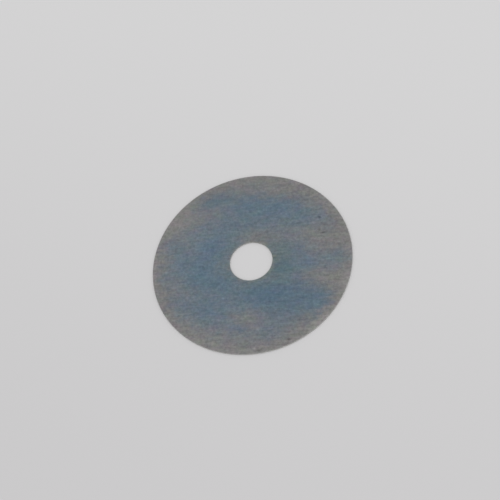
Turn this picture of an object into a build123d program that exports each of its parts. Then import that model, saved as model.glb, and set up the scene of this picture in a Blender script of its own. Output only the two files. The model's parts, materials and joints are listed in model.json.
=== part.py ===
from build123d import *
import os

# Flat ring washer, wide for its bolt hole, stamped in one stroke from thin tempered steel strip.
# Frame: origin on the hole's axis at the lower face, +Z up out of the upper face,
# +X along the direction in which the strip was rolled. All sizes are in millimetres.

# Driving dimensions of the ring
outer_diameter = 30.0
bolt_diameter = 6.0
bolt_clearance = 0.4
sheet_thickness = 0.2

# Zones of the two cut edges. Shearing gives them in proportion to the strip, so each one
# is a share of its thickness.
rollover_depth = 0.15 * sheet_thickness
rollover_width = 0.33 * sheet_thickness
land_height = 0.37 * sheet_thickness
die_clearance = 0.06 * sheet_thickness
corner_wear = 0.075 * sheet_thickness

hole_diameter = bolt_diameter + bolt_clearance

# Which way the metal lies from a cut wall, along the radius
INWARD = -1
OUTWARD = 1


def sheared_edge(cut_radius, metal_side):
    """Outline of one cut wall, from the upper face down to the lower face.

    Returns the two points where it meets the faces. A sheared wall has four zones.
    The skin of the sheet is drawn down over the cut as a rounded shoulder. Below it
    the tool burnishes a straight land. The rest breaks away on a slant, as wide as the
    clearance between punch and die, and the lower corner is worn round by tumbling.
    """
    land_top = sheet_thickness - rollover_depth
    land_bottom = land_top - land_height

    # Shoulder: a quarter ellipse, level at the upper face and upright at the land
    EllipticalCenterArc(
        (cut_radius + metal_side * rollover_width, land_top),
        rollover_width,
        rollover_depth,
        start_angle=90,
        arc_size=metal_side * 90,
    )

    Line((cut_radius, land_top), (cut_radius, land_bottom))

    # Slanted break, short of the lower corner by what has worn off it
    slant_top = Vector(cut_radius, land_bottom)
    sharp_corner = Vector(cut_radius + metal_side * die_clearance, 0)
    slant_bottom = sharp_corner + (slant_top - sharp_corner).normalized() * corner_wear
    slant = Line(slant_top, slant_bottom)

    # Worn corner: leaves along the slant and runs out level on the lower face
    lower_end = sharp_corner + Vector(metal_side, 0) * corner_wear
    TangentArc(slant_bottom, lower_end, tangent=slant % 1)

    upper_end = Vector(cut_radius + metal_side * rollover_width, sheet_thickness)
    return upper_end, lower_end


with BuildPart() as washer:
    with BuildSketch(Plane.XZ):
        with BuildLine():
            rim_top, rim_bottom = sheared_edge(outer_diameter / 2, INWARD)
            hole_top, hole_bottom = sheared_edge(hole_diameter / 2, OUTWARD)
            Line(hole_top, rim_top)
            Line(rim_bottom, hole_bottom)
        make_face()
    revolve(axis=Axis.Z)

os.makedirs("parts", exist_ok=True)
export_step(washer.part, "parts/washer.step")

print("washer volume", round(washer.part.volume, 4), "mm3, valid", washer.part.is_valid)
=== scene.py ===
import json
import math

import bmesh
import bpy
from mathutils import Matrix, Quaternion, Vector


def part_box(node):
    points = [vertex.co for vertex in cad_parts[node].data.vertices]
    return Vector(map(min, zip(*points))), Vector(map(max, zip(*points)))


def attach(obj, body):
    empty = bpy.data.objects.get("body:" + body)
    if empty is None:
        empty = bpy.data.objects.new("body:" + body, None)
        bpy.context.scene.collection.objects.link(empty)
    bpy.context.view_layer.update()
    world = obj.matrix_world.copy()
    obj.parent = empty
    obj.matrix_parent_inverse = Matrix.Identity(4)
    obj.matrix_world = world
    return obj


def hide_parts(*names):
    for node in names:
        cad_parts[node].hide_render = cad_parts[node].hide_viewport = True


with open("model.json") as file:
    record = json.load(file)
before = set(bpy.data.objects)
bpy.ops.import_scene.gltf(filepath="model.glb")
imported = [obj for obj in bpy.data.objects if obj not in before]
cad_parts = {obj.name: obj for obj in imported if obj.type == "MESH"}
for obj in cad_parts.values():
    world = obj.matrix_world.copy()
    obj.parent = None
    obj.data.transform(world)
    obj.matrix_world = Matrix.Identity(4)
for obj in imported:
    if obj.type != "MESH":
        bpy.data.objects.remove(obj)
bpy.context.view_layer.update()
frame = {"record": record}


# The ring. A compound die stamps it from thin tempered steel strip in one stroke: it
# draws the skin of the sheet down over both cuts, burnishes a straight land below and
# breaks the rest away on a slant. Tumbling then wears the lower corners round.
MM = 0.001
sheet_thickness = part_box("washer")[1].z
rim_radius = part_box("washer")[1].x
bolt_hole = next(m for m in frame["record"]["mounts"] if m["name"] == "bolt_hole")
hole_radius = bolt_hole["dims"]["r_mm"] * MM

rollover_depth = 0.15 * sheet_thickness
rollover_width = 0.33 * sheet_thickness
land_height = 0.37 * sheet_thickness
die_clearance = 0.06 * sheet_thickness
corner_wear = 0.075 * sheet_thickness

# Which way the metal lies from a cut wall, along the radius
INWARD = -1
OUTWARD = 1

# How finely the profile is drawn, and how often it is turned
shoulder_steps = 6
corner_steps = 3
face_rings = 9
turn_steps = 512
merge_distance = sheet_thickness / 1000


def extend(outline, end, step):
    """Draws the outline on from its vertex end, by one straight step."""
    tip = bmesh.ops.extrude_vert_indiv(outline, verts=[end])["verts"][0]
    bmesh.ops.translate(outline, verts=[tip], vec=step)
    return tip


def draw_cut(outline, cut_radius, metal_side):
    """Draws the section of one cut wall. Returns its upper end, lower corner and lower end."""
    into_metal = Vector((metal_side, 0, 0))
    land_top = Vector((cut_radius, 0, sheet_thickness - rollover_depth))
    centre = land_top + into_metal * rollover_width

    # The shoulder is a quarter circle, stretched along the face to the rollover's width
    start = centre + Vector((0, 0, rollover_depth))
    top = bmesh.ops.create_vert(outline, co=start)["vert"][0]
    drawn = set(outline.verts) - {top}
    arc = bmesh.ops.spin(
        outline,
        geom=[top],
        cent=centre,
        axis=(0, -metal_side, 0),
        angle=math.radians(90),
        steps=shoulder_steps,
    )
    bmesh.ops.scale(
        outline,
        verts=[v for v in outline.verts if v not in drawn],
        vec=(rollover_width / rollover_depth, 1, 1),
        space=Matrix.Translation(-centre),
    )

    # Land, slanted break and the start of the lower face
    land_bottom = extend(outline, arc["geom_last"][0], (0, 0, -land_height))
    corner = extend(
        outline, land_bottom, into_metal * die_clearance - Vector((0, 0, land_bottom.co.z))
    )
    lower_end = extend(outline, corner, into_metal * rollover_width)
    upper_end = extend(outline, top, into_metal * rollover_width)
    return upper_end, corner, lower_end


ring = bmesh.new()
rim_upper, rim_corner, rim_lower = draw_cut(ring, rim_radius, INWARD)
hole_upper, hole_corner, hole_lower = draw_cut(ring, hole_radius, OUTWARD)
bmesh.ops.bevel(
    ring,
    geom=[rim_corner, hole_corner],
    affect="VERTICES",
    offset_type="OFFSET",
    offset=corner_wear,
    segments=corner_steps,
    profile=0.5,
    material=-1,
)
flat_faces = [ring.edges.new((rim_upper, hole_upper)), ring.edges.new((rim_lower, hole_lower))]
bmesh.ops.subdivide_edges(ring, edges=flat_faces, cuts=face_rings)
bmesh.ops.spin(
    ring,
    geom=ring.verts[:] + ring.edges[:],
    cent=(0, 0, 0),
    axis=(0, 0, 1),
    angle=math.radians(360),
    steps=turn_steps,
    use_merge=True,
)
bmesh.ops.remove_doubles(ring, verts=ring.verts, dist=merge_distance)
bmesh.ops.recalc_face_normals(ring, faces=ring.faces)

# The sheet's own skin is one finish and the steel that the die laid bare is another
SHEET_SKIN, CUT_WALL = 0, 1
steepest_skin = math.cos(math.radians(60))
for face in ring.faces:
    face.smooth = True
    face.material_index = SHEET_SKIN if abs(face.normal.z) > steepest_skin else CUT_WALL

# Map for baked textures: the two faces are discs across one diagonal, and the walls are
# cut into strips, which fill the free corners
map_layer = ring.loops.layers.uv.new("OFBake")
disc_reach = 0.285
upper_disc = Vector((0.295, 0.705))
lower_disc = Vector((0.705, 0.295))
strip_length = 0.36
strip_pitch = 0.07
strip_height = 0.05
rim_strips, rim_strip_corner = 5, Vector((0.02, 0.02))
hole_strips, hole_strip_corner = 2, Vector((0.62, 0.86))


def place_on_map(face, corner):
    """Where a corner of a face lies on the map."""
    if face.material_index == SHEET_SKIN:
        facing_up = face.normal.z > 0
        disc = upper_disc if facing_up else lower_disc
        flat = Vector((corner.x if facing_up else -corner.x, corner.y))
        return disc + flat * disc_reach / rim_radius
    middle = face.calc_center_median()
    on_rim = middle.xy.length > (rim_radius + hole_radius) / 2
    strips, start = (rim_strips, rim_strip_corner) if on_rim else (hole_strips, hole_strip_corner)
    strip_turn = 2 * math.pi / strips
    middle_turn = math.atan2(middle.y, middle.x) % (2 * math.pi)
    strip = int(middle_turn / strip_turn)
    turn = middle_turn - strip * strip_turn + corner.xy.angle_signed(middle.xy)
    # The hole's wall is seen from the axis, so its turns run the other way
    along = turn / strip_turn if on_rim else 1 - turn / strip_turn
    return start + Vector(
        (
            along * strip_length,
            strip * strip_pitch + corner.z / sheet_thickness * strip_height,
        )
    )


for face in ring.faces:
    for loop in face.loops:
        loop[map_layer].uv = place_on_map(face, loop.vert.co)

ring_mesh = bpy.data.meshes.new("stamped_ring")
ring.to_mesh(ring_mesh)
ring.free()
stamped_ring = bpy.data.objects.new("stamped_ring", ring_mesh)
bpy.context.scene.collection.objects.link(stamped_ring)


# The skin of the strip. It is cold-rolled spring steel with a fine grain along +X, and
# tempering left a thin blue oxide film on it. Handling has worn the film off along the
# rim, round the hole and in patches, down to bare grey steel.
def srgb(red, green, blue):
    """A colour given on the screen's scale of 255, as the shaders take it."""
    shares = [c / 255 for c in (red, green, blue)]
    return [c / 12.92 if c <= 0.04045 else ((c + 0.055) / 1.055) ** 2.4 for c in shares] + [1]


def new_material(name):
    """A material with one Principled shader. Returns it, its node tree and that shader."""
    material = bpy.data.materials.new(name)
    material.use_nodes = True
    tree = material.node_tree
    return material, tree, tree.nodes["Principled BSDF"]


def feed(tree, socket, value):
    """Links value to a socket if it is another node's output, and otherwise sets it."""
    if isinstance(value, bpy.types.NodeSocket):
        tree.links.new(value, socket)
    else:
        socket.default_value = value


def maths(tree, operation, *values):
    """One Math node."""
    node = tree.nodes.new("ShaderNodeMath")
    node.operation = operation
    for socket, value in zip(node.inputs, values):
        feed(tree, socket, value)
    return node.outputs["Value"]


def vector_maths(tree, operation, *values):
    """One Vector Math node."""
    node = tree.nodes.new("ShaderNodeVectorMath")
    node.operation = operation
    for socket, value in zip(node.inputs, values):
        feed(tree, socket, value)
    gives_number = operation in ("LENGTH", "DOT_PRODUCT")
    return node.outputs["Value" if gives_number else "Vector"]


def millimetres(tree):
    """The place on the washer, in millimetres from its axis and its lower face."""
    place = tree.nodes.new("ShaderNodeTexCoord").outputs["Object"]
    return vector_maths(tree, "MULTIPLY", place, (1 / MM, 1 / MM, 1 / MM))


def on_the_flat(tree, place):
    """A place with its height set to zero."""
    return vector_maths(tree, "MULTIPLY", place, (1, 1, 0))


def height_of(tree, place):
    """The height of a place."""
    node = tree.nodes.new("ShaderNodeSeparateXYZ")
    feed(tree, node.inputs["Vector"], place)
    return node.outputs["Z"]


def share_of_radius(tree, place):
    """How far a place on the flat lies from the axis, as a share of the rim's radius."""
    return maths(tree, "DIVIDE", vector_maths(tree, "LENGTH", place), rim_radius / MM)


def noise(tree, place, scale, detail=2, roughness=0.5, output="Fac"):
    """A noise texture, with so many features to the millimetre along X, Y and Z."""
    node = tree.nodes.new("ShaderNodeTexNoise")
    feed(tree, node.inputs["Vector"], vector_maths(tree, "MULTIPLY", place, scale))
    node.inputs["Scale"].default_value = 1
    node.inputs["Detail"].default_value = detail
    node.inputs["Roughness"].default_value = roughness
    return node.outputs[output]


# A noise texture seldom leaves this range
noise_low, noise_high = 0.25, 0.75


def spread(tree, value, reach, middle=0.0):
    """A noise value, spread to run about as far as reach to both sides of middle."""
    node = tree.nodes.new("ShaderNodeMapRange")
    node.clamp = False
    feed(tree, node.inputs["Value"], value)
    node.inputs["From Min"].default_value = noise_low
    node.inputs["From Max"].default_value = noise_high
    node.inputs["To Min"].default_value = middle - reach
    node.inputs["To Max"].default_value = middle + reach
    return node.outputs["Result"]


def patch(tree, place, centre, half_length, half_width, turn):
    """A soft oval spot: 1 in its middle and 0 beyond its edge. Sizes are in millimetres."""
    mapping = tree.nodes.new("ShaderNodeMapping")
    mapping.vector_type = "TEXTURE"
    feed(tree, mapping.inputs["Vector"], place)
    mapping.inputs["Location"].default_value = (*centre, 0)
    mapping.inputs["Rotation"].default_value = (0, 0, math.radians(turn))
    mapping.inputs["Scale"].default_value = (half_length, half_width, 1)
    gradient = tree.nodes.new("ShaderNodeTexGradient")
    gradient.gradient_type = "SPHERICAL"
    feed(tree, gradient.inputs["Vector"], mapping.outputs["Vector"])
    smooth = tree.nodes.new("ShaderNodeMapRange")
    smooth.interpolation_type = "SMOOTHSTEP"
    feed(tree, smooth.inputs["Value"], gradient.outputs["Fac"])
    return smooth.outputs["Result"]


def add_patches(tree, place, total, patches):
    """total, plus each patch of a list times its strength."""
    for centre, half_length, half_width, turn, strength in patches:
        spot = patch(tree, place, centre, half_length, half_width, turn)
        total = maths(tree, "MULTIPLY_ADD", spot, strength, total)
    return total


def ramp(tree, value, stops, interpolation="LINEAR"):
    """A colour ramp through (position, colour) stops."""
    node = tree.nodes.new("ShaderNodeValToRGB")
    node.color_ramp.interpolation = interpolation
    feed(tree, node.inputs["Fac"], value)
    elements = node.color_ramp.elements
    for element, (position, colour) in zip(elements, (stops[0], stops[-1])):
        element.position, element.color = position, colour
    for position, colour in stops[1:-1]:
        elements.new(position).color = colour
    return node.outputs["Color"]


def curve(tree, value, points, interpolation="LINEAR"):
    """A curve through (position, number) points. It is a ramp of greys."""
    greys = [(position, (number, number, number, 1)) for position, number in points]
    return ramp(tree, value, greys, interpolation)


def tinted(tree, colour, factor, tint, mode="MIX"):
    """colour with tint laid over it by factor."""
    node = tree.nodes.new("ShaderNodeMix")
    node.data_type = "RGBA"
    node.blend_type = mode
    feed(tree, node.inputs["Factor"], factor)
    feed(tree, node.inputs["A"], colour)
    feed(tree, node.inputs["B"], tint)
    return node.outputs["Result"]


# How much film is left, from 0 for bare steel to 1 for full blue, by distance from the
# axis as a share of the rim's radius
film_by_radius = [
    (0.21, 0.48),
    (0.26, 0.70),
    (0.50, 0.75),
    (0.65, 0.60),
    (0.75, 0.45),
    (0.85, 0.25),
    (0.95, 0.05),
    (1.00, 0.00),
]
# Where there is more film or less, as soft ovals placed on the upper face: centre,
# half length, half width, turn, strength. Millimetres and degrees in the washer's frame,
# where right is +X and up is +Y.
film_patches = [
    # Deep blue below the hole and out to the lower right
    ((2.5, -5.5), 6.5, 3.0, -5, 0.40),
    ((6.0, -8.5), 5.0, 3.0, 0, 0.25),
    ((9.0, -6.5), 5.0, 3.5, 0, 0.35),
    ((10.5, -8.0), 3.5, 3.0, 30, 0.45),
    # Even blue to the left of the hole
    ((-8.0, -1.5), 5.0, 3.5, -30, 0.30),
    ((-6.0, 2.5), 4.0, 3.5, 30, 0.25),
    ((-4.0, -3.5), 3.0, 2.5, 0, 0.25),
    ((-11.0, 1.0), 4.0, 2.0, 80, 0.25),
    ((-7.0, -8.0), 6.0, 3.0, -20, 0.30),
    # A belt of blue across the top
    ((-6.0, 11.0), 4.5, 2.5, 20, 0.50),
    ((-1.5, 10.0), 4.0, 2.5, 0, 0.30),
    ((3.5, 9.5), 6.0, 3.0, 0, 0.35),
    ((8.0, 7.0), 5.5, 3.5, -30, 0.25),
    ((11.0, 6.5), 3.5, 2.5, -60, 0.15),
    # Blue spots to the right of the hole and out to the rim
    ((4.5, -1.5), 3.0, 2.0, 0, 0.30),
    ((8.5, -1.5), 2.5, 1.5, 0, 0.20),
    ((13.0, -0.5), 3.0, 2.5, 0, 0.35),
    # Thin film that reaches the rim at the left and below
    ((-12.5, 3.5), 3.0, 2.5, 80, 0.30),
    ((-13.0, -1.5), 3.0, 2.0, -80, 0.30),
    ((-11.0, -6.5), 4.0, 2.5, -60, 0.25),
    ((-2.0, -10.5), 2.5, 1.5, -20, 0.40),
    ((3.0, -12.0), 4.0, 2.5, 30, 0.20),
    # Worn above the hole and in a band from there to the rim on the right
    ((0.5, 4.0), 4.0, 2.5, 0, -0.40),
    ((4.5, 4.5), 4.0, 3.5, 10, -0.30),
    ((8.5, 4.0), 4.5, 3.0, 20, -0.45),
    ((10.5, 2.0), 4.5, 2.5, 20, -0.35),
    ((10.0, -3.5), 5.5, 2.5, -20, -0.40),
    # Worn at the top and the upper left
    ((4.0, 11.5), 4.5, 2.0, -10, -0.20),
    ((-7.0, 8.5), 4.5, 2.0, 30, -0.20),
    ((-11.0, 8.0), 4.0, 2.5, 50, -0.15),
    # Worn below, and in a crescent beyond the deep blue
    ((-1.0, -9.5), 4.5, 2.5, 0, -0.45),
    ((12.0, -9.0), 4.5, 2.0, 50, -0.45),
]
# The film's colour as it thickens: straw is already gone, then faint violet, blue and teal
film_colours = [
    (0.0, srgb(125.5, 124.5, 123)),
    (0.3, srgb(117.5, 120.5, 124.5)),
    (0.6, srgb(108.5, 118, 126.5)),
    (0.9, srgb(99.5, 115.5, 128.5)),
    (1.25, srgb(89, 110.5, 128.5)),
]
fullest_film = film_colours[-1][0]
# Broad places where the steel is lighter or darker, and where it is greener
shade_patches = [
    # Darker beside and below the hole, above it, and at both sides of the deep blue
    ((4.4, -0.6), 3.4, 4.6, 0, -0.07),
    ((5.0, -6.4), 9.0, 5.0, -10, -0.06),
    ((-0.5, 6.0), 3.5, 2.0, 90, -0.04),
    ((10.0, -5.5), 3.5, 2.0, -20, -0.05),
    ((7.5, -10.0), 2.5, 2.0, 70, -0.05),
    ((-7.0, -4.0), 2.5, 2.0, 0, -0.05),
    ((4.0, -8.5), 2.0, 1.5, 0, -0.06),
    # Darker near the rim at the top, the right and the left
    ((-5.5, 12.0), 3.0, 3.0, 0, -0.08),
    ((-1.5, 11.5), 2.0, 2.0, 0, -0.05),
    ((6.5, 11.0), 5.0, 2.5, -35, -0.05),
    ((13.0, 4.5), 3.5, 2.5, 90, -0.05),
    ((-12.5, -5.0), 3.5, 2.0, 80, -0.05),
    ((-9.0, 11.0), 2.5, 1.5, 40, -0.05),
    # Lighter at the upper left, and below
    ((-10.5, 7.5), 5.0, 3.5, 40, 0.07),
    ((-8.0, 4.0), 4.0, 3.0, 60, 0.05),
    ((-11.5, -0.5), 4.0, 2.0, 90, 0.03),
    ((-3.5, -9.5), 2.5, 2.0, 0, 0.05),
    ((-7.0, -11.5), 3.0, 2.0, -40, 0.05),
    ((5.0, -0.5), 2.0, 2.0, 0, 0.04),
    ((-4.0, -13.5), 2.5, 1.5, -15, 0.04),
    ((10.0, -1.5), 2.5, 2.5, 0, 0.03),
    # Paler along the rim at the lower right
    ((10.5, -10.5), 6.0, 1.5, 45, 0.12),
    ((9.5, -10.5), 2.5, 1.5, 45, 0.08),
    ((14.0, -4.5), 3.0, 1.5, 75, 0.14),
]
green_patches = [
    ((5.5, -1.5), 4.0, 4.0, 0, 0.012),
    ((-8.0, -2.0), 4.0, 4.0, 0, 0.015),
    ((0.0, 7.4), 4.0, 3.0, 0, 0.015),
    ((7.4, 6.6), 4.0, 3.0, 0, 0.015),
]
# How much lighter the steel is where its edges are rubbed, by share of the rim's radius
polish_by_radius = [
    (hole_radius / rim_radius, 0.10),
    (hole_radius / rim_radius + 0.02, -0.02),
    (0.30, 0.0),
    (0.80, 0.0),
    (0.90, -0.015),
    (0.96, 0.02),
    (0.992, 0.06),
    (1.0, 0.30),
]
# Small marks: specks, nicks and smears, as patches that change how light the steel is
small_marks = [
    # A dark nick with a pale smear beside it, and dark dashes along the grain, at the right
    ((10.3, 6.5), 0.50, 0.35, -30, -0.50),
    ((10.9, 6.0), 0.40, 0.80, 20, 0.14),
    ((10.8, 3.8), 0.65, 0.25, 5, -0.45),
    ((10.2, 4.3), 0.40, 0.25, 0, -0.25),
    ((7.1, 5.8), 0.90, 0.30, 5, -0.15),
    ((13.0, 1.7), 0.40, 0.30, 0, -0.15),
    ((11.5, -0.7), 0.50, 0.26, 0, 0.20),
    # Near the rim below and at the left
    ((5.6, -13.1), 0.50, 0.35, 10, -0.45),
    ((0.6, -14.2), 0.35, 0.30, 0, 0.50),
    ((1.2, -14.5), 0.35, 0.25, 0, -0.45),
    ((-13.0, -0.7), 0.80, 0.24, 5, 0.18),
    # Bright specks in the blue, and pale ticks beside the hole
    ((-4.1, -5.8), 0.34, 0.34, 0, 0.32),
    ((1.7, -3.6), 0.34, 0.20, 30, 0.22),
    ((3.3, -3.6), 0.34, 0.20, 60, 0.22),
    # A faint scratch at the lower right
    ((5.6, -8.4), 5.2, 0.16, -15, 0.08),
]

# Noise patterns: features to the millimetre along X, along Y and through the sheet
wander_scale = (0.8, 1.2, 30)
mottle_scale = (0.9, 1.3, 30)
pit_scale = (2.3, 2.2, 30)
stroke_scale = (0.5, 2.6, 30)
hairline_scale = (0.15, 13, 30)
unevenness_scale = (0.65, 0.85, 30)
fleck_scale = (1.5, 3.0, 50)
drift_scale = (0.5, 0.7, 40)

skin, tree, shader = new_material("blue_tempered_strip")
place = millimetres(tree)
true_place = on_the_flat(tree, place)
on_upper_face = maths(tree, "GREATER_THAN", height_of(tree, place), sheet_thickness / MM / 2)

# The edges of the patches wander by up to this many millimetres
wander_reach = Vector((1.6, 1.2, 0))
wander = noise(tree, place, wander_scale, detail=4, roughness=0.6, output="Color")
offset = vector_maths(tree, "MULTIPLY_ADD", wander, 2 * wander_reach, -wander_reach)
wandering = on_the_flat(tree, vector_maths(tree, "ADD", place, offset))

# The film: what is left of it at this radius, the patches and a fine mottle
mottle_reach = 0.22
film = curve(tree, share_of_radius(tree, wandering), film_by_radius, "EASE")
patch_sum = add_patches(tree, wandering, 0.0, film_patches)
film = maths(tree, "MULTIPLY_ADD", patch_sum, on_upper_face, film)
mottle = noise(tree, place, mottle_scale, detail=5, roughness=0.7)
film = maths(tree, "ADD", film, spread(tree, mottle, mottle_reach))

# Rolling grain: short rounded pits, longer strokes and hairlines. It is calmer at the top
# and where the film is thick.
pit_depth, stroke_depth, hairline_depth = 1.0, 0.4, 0.35
plain_contrast = 1.2
top_oval = ((-3, 12), 16, 10, 20)
calm_at_top = -0.3
calm_by_film = -0.18
pits = noise(tree, place, pit_scale, detail=5, roughness=0.65)
strokes = noise(tree, place, stroke_scale, roughness=0.6)
hairlines = noise(tree, place, hairline_scale)
grain = maths(tree, "ADD", spread(tree, pits, pit_depth), spread(tree, strokes, stroke_depth))
grain = maths(tree, "ADD", grain, spread(tree, hairlines, hairline_depth))
top = patch(tree, place, *top_oval)
contrast = maths(tree, "MULTIPLY_ADD", top, calm_at_top, plain_contrast)
contrast = maths(tree, "MULTIPLY_ADD", film, calm_by_film, contrast)
grain = maths(tree, "MULTIPLY", grain, contrast)

# A ridge of the grain holds a little less film than a pit
ridge_film = -0.03
film = maths(tree, "MULTIPLY_ADD", grain, ridge_film, film)
film_share = maths(tree, "DIVIDE", film, fullest_film)
colour = ramp(tree, film_share, [(level / fullest_film, tone) for level, tone in film_colours])

# How light the steel is: a broad unevenness, the grain, flecks where a pit is deep or a
# ridge is worn bright, the shades and small marks of the upper face, and the rubbed edges
ridge_lightness = 0.21
unevenness_reach = 0.14
no_fleck, dark_fleck, bright_fleck = 0.5, 0.46, 0.6
fleck_curve = [(0.22, dark_fleck), (0.34, no_fleck), (0.66, no_fleck), (0.78, bright_fleck)]
unevenness = noise(tree, place, unevenness_scale, detail=4, roughness=0.8)
unevenness = spread(tree, unevenness, unevenness_reach, middle=1.0)
lightness = maths(tree, "MULTIPLY_ADD", grain, ridge_lightness, unevenness)
flecks = curve(tree, noise(tree, place, fleck_scale, roughness=0.6), fleck_curve)
lightness = maths(tree, "ADD", lightness, maths(tree, "SUBTRACT", flecks, no_fleck))
shades = add_patches(tree, wandering, 0.0, shade_patches)
shades = add_patches(tree, true_place, shades, small_marks)
lightness = maths(tree, "MULTIPLY_ADD", shades, on_upper_face, lightness)
polish = curve(tree, share_of_radius(tree, true_place), polish_by_radius)
lightness = maths(tree, "ADD", lightness, polish)
colour = tinted(tree, colour, 1.0, lightness, "MULTIPLY")

# The film's colour drifts a little between teal and violet, and is less blue by the hole.
# What green gains, red and blue each lose by half as much.
drift_reach = 0.065
hole_oval = ((0.8, -0.3), 7.5, 6.5, 0)
blue_lost = -0.17
drift = spread(tree, noise(tree, place, drift_scale, detail=3, roughness=0.65), drift_reach)
green_spots = add_patches(tree, wandering, 0.0, green_patches)
greener = maths(tree, "MULTIPLY_ADD", green_spots, on_upper_face, drift)
by_hole = patch(tree, wandering, *hole_oval)
by_hole = maths(tree, "MULTIPLY", by_hole, on_upper_face)
less_blue = maths(tree, "MULTIPLY_ADD", by_hole, blue_lost, 1.0)
cast = tree.nodes.new("ShaderNodeCombineColor")
feed(tree, cast.inputs["Red"], maths(tree, "MULTIPLY_ADD", greener, -0.5, 1.0))
feed(tree, cast.inputs["Green"], maths(tree, "ADD", greener, 1.0))
feed(tree, cast.inputs["Blue"], maths(tree, "MULTIPLY_ADD", greener, -0.5, less_blue))
colour = tinted(tree, colour, 1.0, cast.outputs["Color"], "MULTIPLY")

# Satin steel with its grain in relief, a little darker at a glancing angle than a mirror is
grain_relief = 0.0012 * MM
glancing_tint = (0.72, 0.74, 0.76, 1)
skin_roughness = 0.34
ridge_roughness = -0.05
bump = tree.nodes.new("ShaderNodeBump")
bump.inputs["Strength"].default_value = 1.0
bump.inputs["Distance"].default_value = grain_relief
feed(tree, bump.inputs["Height"], grain)
feed(tree, shader.inputs["Base Color"], colour)
shader.inputs["Metallic"].default_value = 1.0
shader.inputs["Specular Tint"].default_value = glancing_tint
roughness = maths(tree, "MULTIPLY_ADD", grain, ridge_roughness, skin_roughness)
feed(tree, shader.inputs["Roughness"], roughness)
feed(tree, shader.inputs["Normal"], bump.outputs["Normal"])
ring_mesh.materials.append(skin)


# The cut walls are bare steel, brighter than the faces: burnished and scored from top to
# bottom where the tool slid past, and dull and granular below, where the metal tore.
wall, tree, shader = new_material("sheared_steel")
place = millimetres(tree)
land_bottom = (sheet_thickness - rollover_depth - land_height) / MM
tear_reach = 0.015
ragged_scale = (6, 6, 0.5)
score_scale = (22, 22, 0.8)
torn_scale = (35, 35, 35)
land_roughness = 0.32
torn_roughness = 0.57
ragged = noise(tree, place, ragged_scale, detail=3)
tear_height = spread(tree, ragged, tear_reach, middle=land_bottom)
torn = maths(tree, "LESS_THAN", height_of(tree, place), tear_height)
scores = noise(tree, place, score_scale)
grains = noise(tree, place, torn_scale)
burnished = ramp(tree, scores, [(0.3, srgb(190, 189, 187)), (0.7, srgb(215, 214, 212))])
granular = ramp(tree, grains, [(0.3, srgb(158, 157, 155)), (0.7, srgb(196, 195, 193))])
feed(tree, shader.inputs["Base Color"], tinted(tree, burnished, torn, granular))
shader.inputs["Metallic"].default_value = 1.0
roughness = maths(tree, "MULTIPLY_ADD", torn, torn_roughness - land_roughness, land_roughness)
feed(tree, shader.inputs["Roughness"], roughness)
ring_mesh.materials.append(wall)

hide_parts("washer")
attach(stamped_ring, "root")


# The floor is a pale matt sheet with a painted light gradient in its colour, wide enough to reach
# the horizon in low views. It is cut away under the washer, out of sight, so that the lower face
# is open to view and to light from below.
floor_reach = 2.0
# Painted light: the sheet's colour grows paler along this bearing, over so many millimetres to
# each side, in place of light that falls off across it
painted_light_bearing = math.radians(71)
painted_light_reach = 65
floor_lap = 0.06 * MM
under_rim = rim_radius - floor_lap
under_hole = hole_radius + floor_lap
sheet = bmesh.new()
bmesh.ops.create_circle(sheet, cap_ends=True, segments=turn_steps, radius=under_hole)
opening = bmesh.ops.create_circle(sheet, segments=turn_steps, radius=under_rim)["verts"]
border = bmesh.ops.create_circle(sheet, segments=turn_steps, radius=floor_reach)["verts"]
outer_rings = set(opening) | set(border)
bmesh.ops.bridge_loops(sheet, edges=[e for e in sheet.edges if e.verts[0] in outer_rings])
bmesh.ops.recalc_face_normals(sheet, faces=sheet.faces)
if sheet.faces[:][0].normal.z < 0:
    bmesh.ops.reverse_faces(sheet, faces=sheet.faces)
floor_mesh = bpy.data.meshes.new("floor")
sheet.to_mesh(floor_mesh)
sheet.free()
floor = bpy.data.objects.new("floor", floor_mesh)
bpy.context.scene.collection.objects.link(floor)
floor_finish_with_painted_light, tree, shader = new_material("pale_matt_floor_with_painted_light")
painted_light_way = (math.cos(painted_light_bearing), math.sin(painted_light_bearing), 0)
# Painted light: a gradient in the floor's own colour, darker on one side and paler on the other
across = vector_maths(tree, "DOT_PRODUCT", millimetres(tree), painted_light_way)
painted_light_share = maths(tree, "MULTIPLY_ADD", across, 0.5 / painted_light_reach, 0.5)
painted_light_paper = ramp(tree, painted_light_share, [(0, srgb(197, 196, 197)), (1, srgb(210, 209.5, 210))], "EASE")
feed(tree, shader.inputs["Base Color"], painted_light_paper)
shader.inputs["Roughness"].default_value = 0.9
shader.inputs["Specular IOR Level"].default_value = 0.0
floor_mesh.materials.append(floor_finish_with_painted_light)


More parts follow.
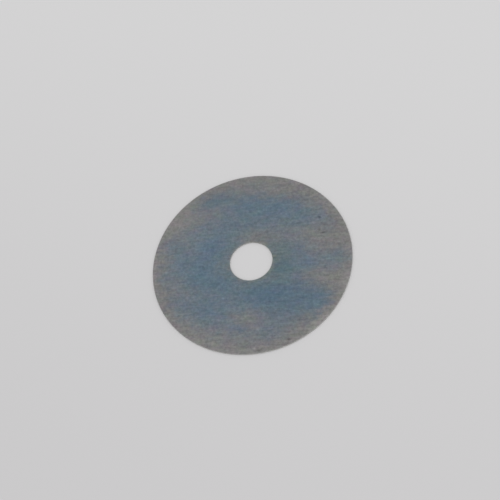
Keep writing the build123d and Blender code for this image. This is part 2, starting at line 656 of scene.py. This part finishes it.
# Soft studio light: an even pale surround gives nearly all of it. One large soft lamp in
# front, at the viewer's side, lightens the cut walls and the shadow at the foot of the rim.
surround_strength = 0.97
world = bpy.data.worlds.new("studio")
world.use_nodes = True
surround = world.node_tree.nodes["Background"]
surround.inputs["Color"].default_value = (1, 1, 1, 1)
surround.inputs["Strength"].default_value = surround_strength
bpy.context.scene.world = world

lamp_bearing = math.radians(-80)
lamp_elevation = math.radians(45)
lamp_distance = 0.50
lamp_side = 0.16
lamp_power = 0.26
lamp_data = bpy.data.lights.new("soft_lamp", "AREA")
lamp_data.shape = "SQUARE"
lamp_data.size = lamp_side
lamp_data.energy = lamp_power
lamp = bpy.data.objects.new("soft_lamp", lamp_data)
to_lamp = Vector(
    (
        math.cos(lamp_bearing) * math.cos(lamp_elevation),
        math.sin(lamp_bearing) * math.cos(lamp_elevation),
        math.sin(lamp_elevation),
    )
)
lamp.location = to_lamp * lamp_distance
lamp.rotation_mode = "QUATERNION"
lamp.rotation_quaternion = to_lamp.to_track_quat("Z", "Y")
bpy.context.scene.collection.objects.link(lamp)


# The camera looks down on the washer as the photograph does, a little turned on its own
# axis. The place of the hole's centre in the picture aims it.
view_azimuth = math.radians(19.7)
view_elevation = math.radians(58.73)
view_roll = math.radians(22.02)
view_distance = 10.768 * rim_radius
picture_width = 500
lens_in_pixels = 1093.7
centre_pixel = Vector((251.31, 261.78))
camera_data = bpy.data.cameras.new("camera")
camera_data.sensor_width = 36
camera_data.lens = lens_in_pixels / picture_width * camera_data.sensor_width
camera_data.clip_start = 0.01
camera_data.clip_end = 10
camera = bpy.data.objects.new("camera", camera_data)
back = Vector(
    (
        math.sin(view_azimuth) * math.cos(view_elevation),
        -math.cos(view_azimuth) * math.cos(view_elevation),
        math.sin(view_elevation),
    )
)
aimed = back.to_track_quat("Z", "Y")
rolled = Quaternion((0, 0, 1), -view_roll)
off_axis = centre_pixel - Vector((picture_width / 2, picture_width / 2))
to_centre = Vector((off_axis.x, -off_axis.y, -lens_in_pixels))
swung = Vector((0, 0, -1)).rotation_difference(to_centre)
camera.rotation_mode = "QUATERNION"
camera.rotation_quaternion = aimed @ rolled @ swung.inverted()
camera.location = back * view_distance
bpy.context.scene.collection.objects.link(camera)
bpy.context.scene.camera = camera

bpy.context.scene.view_settings.view_transform = "Standard"
